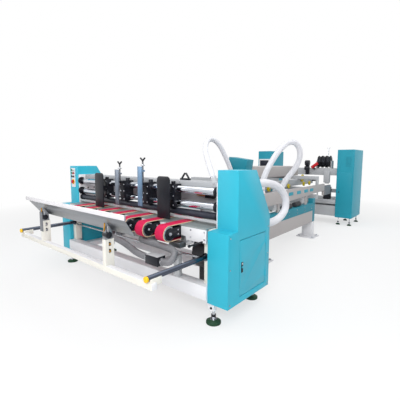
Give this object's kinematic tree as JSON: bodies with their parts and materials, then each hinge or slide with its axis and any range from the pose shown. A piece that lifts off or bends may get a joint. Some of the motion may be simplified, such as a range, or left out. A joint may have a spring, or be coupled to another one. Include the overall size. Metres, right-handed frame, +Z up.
{
  "type": "box stitching and gluing machine",
  "caption": "Long line machine for corrugated blanks: a belt feeder with a sloped tray, a folding and gluing conveyor with suction hoses, and a wire stitcher between two tall cabinets.",
  "frame": {"origin": "centre of the machine footprint at floor level", "axes": "+Y runs with the board from the feeder to the stitcher, +X to the right of an operator facing the feeder, +Z up"},
  "size_m": [3.094, 7.034, 1.8759],
  "materials": {
    "teal_paint": "satin",
    "white_paint": "satin",
    "grey_paint": "satin",
    "black_paint": "satin",
    "stainless": "brushed",
    "chrome": "polished",
    "dark_rubber": "matte",
    "red_belt": "matte",
    "yellow_plastic": "matte",
    "hose_white": "matte",
    "hose_grey": "matte",
    "brass": "satin",
    "green_rubber": "matte",
    "red_paint": "gloss",
    "blue_paint": "satin"
  },
  "bodies": {
    "machine": {"beam_handle": "black_paint", "belt_arms": "black_paint", "belt_pulleys": "stainless", "console_box": "teal_paint", "cross_shafts": "chrome", "feed_belts": "red_belt", "feed_motor": "brass", "feed_roller": "dark_rubber", "feed_suction_hose": "hose_white", "feed_table": "white_paint", "feeder_base_frame": "white_paint", "feeder_corner_posts": "white_paint", "feeder_side_plates": "white_paint", "fold_suction_hose": "hose_white", "folder_base_plates": "white_paint", "folder_cross_beams": "grey_paint", "folder_hood": "grey_paint", "folder_legs": "white_paint", "folder_motors": "black_paint", "folder_side_beams": "white_paint", "folder_side_panels": "teal_paint", "folder_side_plates": "white_paint", "gate_brackets": "black_paint", "hose_manifold": "black_paint", "hose_ports": "white_paint", "left_duct_hose": "hose_grey", "left_side_cabinet": "teal_paint", "levelling_feet": "green_rubber", "loop_suction_hose": "hose_white", "lower_track_beams": "grey_paint", "operator_panels": "white_paint", "pressure_wheels": "yellow_plastic", "rail_end_caps": "yellow_plastic", "rear_cross_panel": "white_paint", "right_duct_hose": "hose_grey", "right_side_cabinet": "teal_paint", "slide_rails": "chrome", "spool_stand": "grey_paint", "stitch_anvil": "black_paint", "stitch_drive": "red_paint", "stitch_head": "black_paint", "stitcher_cabinets": "teal_paint", "stitcher_cross_beams": "grey_paint", "suction_blower": "black_paint", "suction_ducts": "grey_paint", "table_apron": "white_paint", "top_cross_beam": "white_paint", "transport_belts": "dark_rubber", "upper_press_beams": "grey_paint", "wire_mast": "grey_paint"},
    "cabinet_door": {"right_cabinet_door": "teal_paint"},
    "left_guide": {"left_side_guide": "black_paint"},
    "right_guide": {"right_side_guide": "black_paint"},
    "left_gate": {"front_gate_left": "stainless"},
    "right_gate": {"front_gate_right": "blue_paint"},
    "tray_slide": {"tray_carriage": "white_paint", "stacking_tray": "stainless"},
    "spool_a": {"wire_spool_1": "black_paint"},
    "spool_b": {"wire_spool_2": "black_paint"},
    "spool_c": {"wire_spool_3": "black_paint"}
  },
  "joints": [
    {"name": "cabinet_door_hinge", "type": "hinge", "parent": "machine", "child": "cabinet_door", "pos_m": [1.544, -2.127, 0.53], "axis": [0, 0, 1], "range_deg": [0, 110]},
    {"name": "left_guide_slide", "type": "slide", "parent": "machine", "child": "left_guide", "axis": [1, 0, 0], "range_m": [-0.11, 0.11]},
    {"name": "right_guide_slide", "type": "slide", "parent": "machine", "child": "right_guide", "axis": [1, 0, 0], "range_m": [-0.11, 0.11]},
    {"name": "left_gate_lift", "type": "slide", "parent": "machine", "child": "left_gate", "axis": [0, 0, 1], "range_m": [-0.03, 0.045]},
    {"name": "right_gate_lift", "type": "slide", "parent": "machine", "child": "right_gate", "axis": [0, 0, 1], "range_m": [-0.03, 0.045]},
    {"name": "tray_travel", "type": "slide", "parent": "machine", "child": "tray_slide", "axis": [0, 1, 0], "range_m": [0, 0.25]},
    {"name": "spool_a_spin", "type": "hinge", "parent": "machine", "child": "spool_a", "pos_m": [0.42, 2.889, 1.522], "axis": [1, 0, 0], "continuous": true},
    {"name": "spool_b_spin", "type": "hinge", "parent": "machine", "child": "spool_b", "pos_m": [0.52, 2.889, 1.522], "axis": [1, 0, 0], "continuous": true},
    {"name": "spool_c_spin", "type": "hinge", "parent": "machine", "child": "spool_c", "pos_m": [0.62, 2.889, 1.522], "axis": [1, 0, 0], "continuous": true}
  ]
}
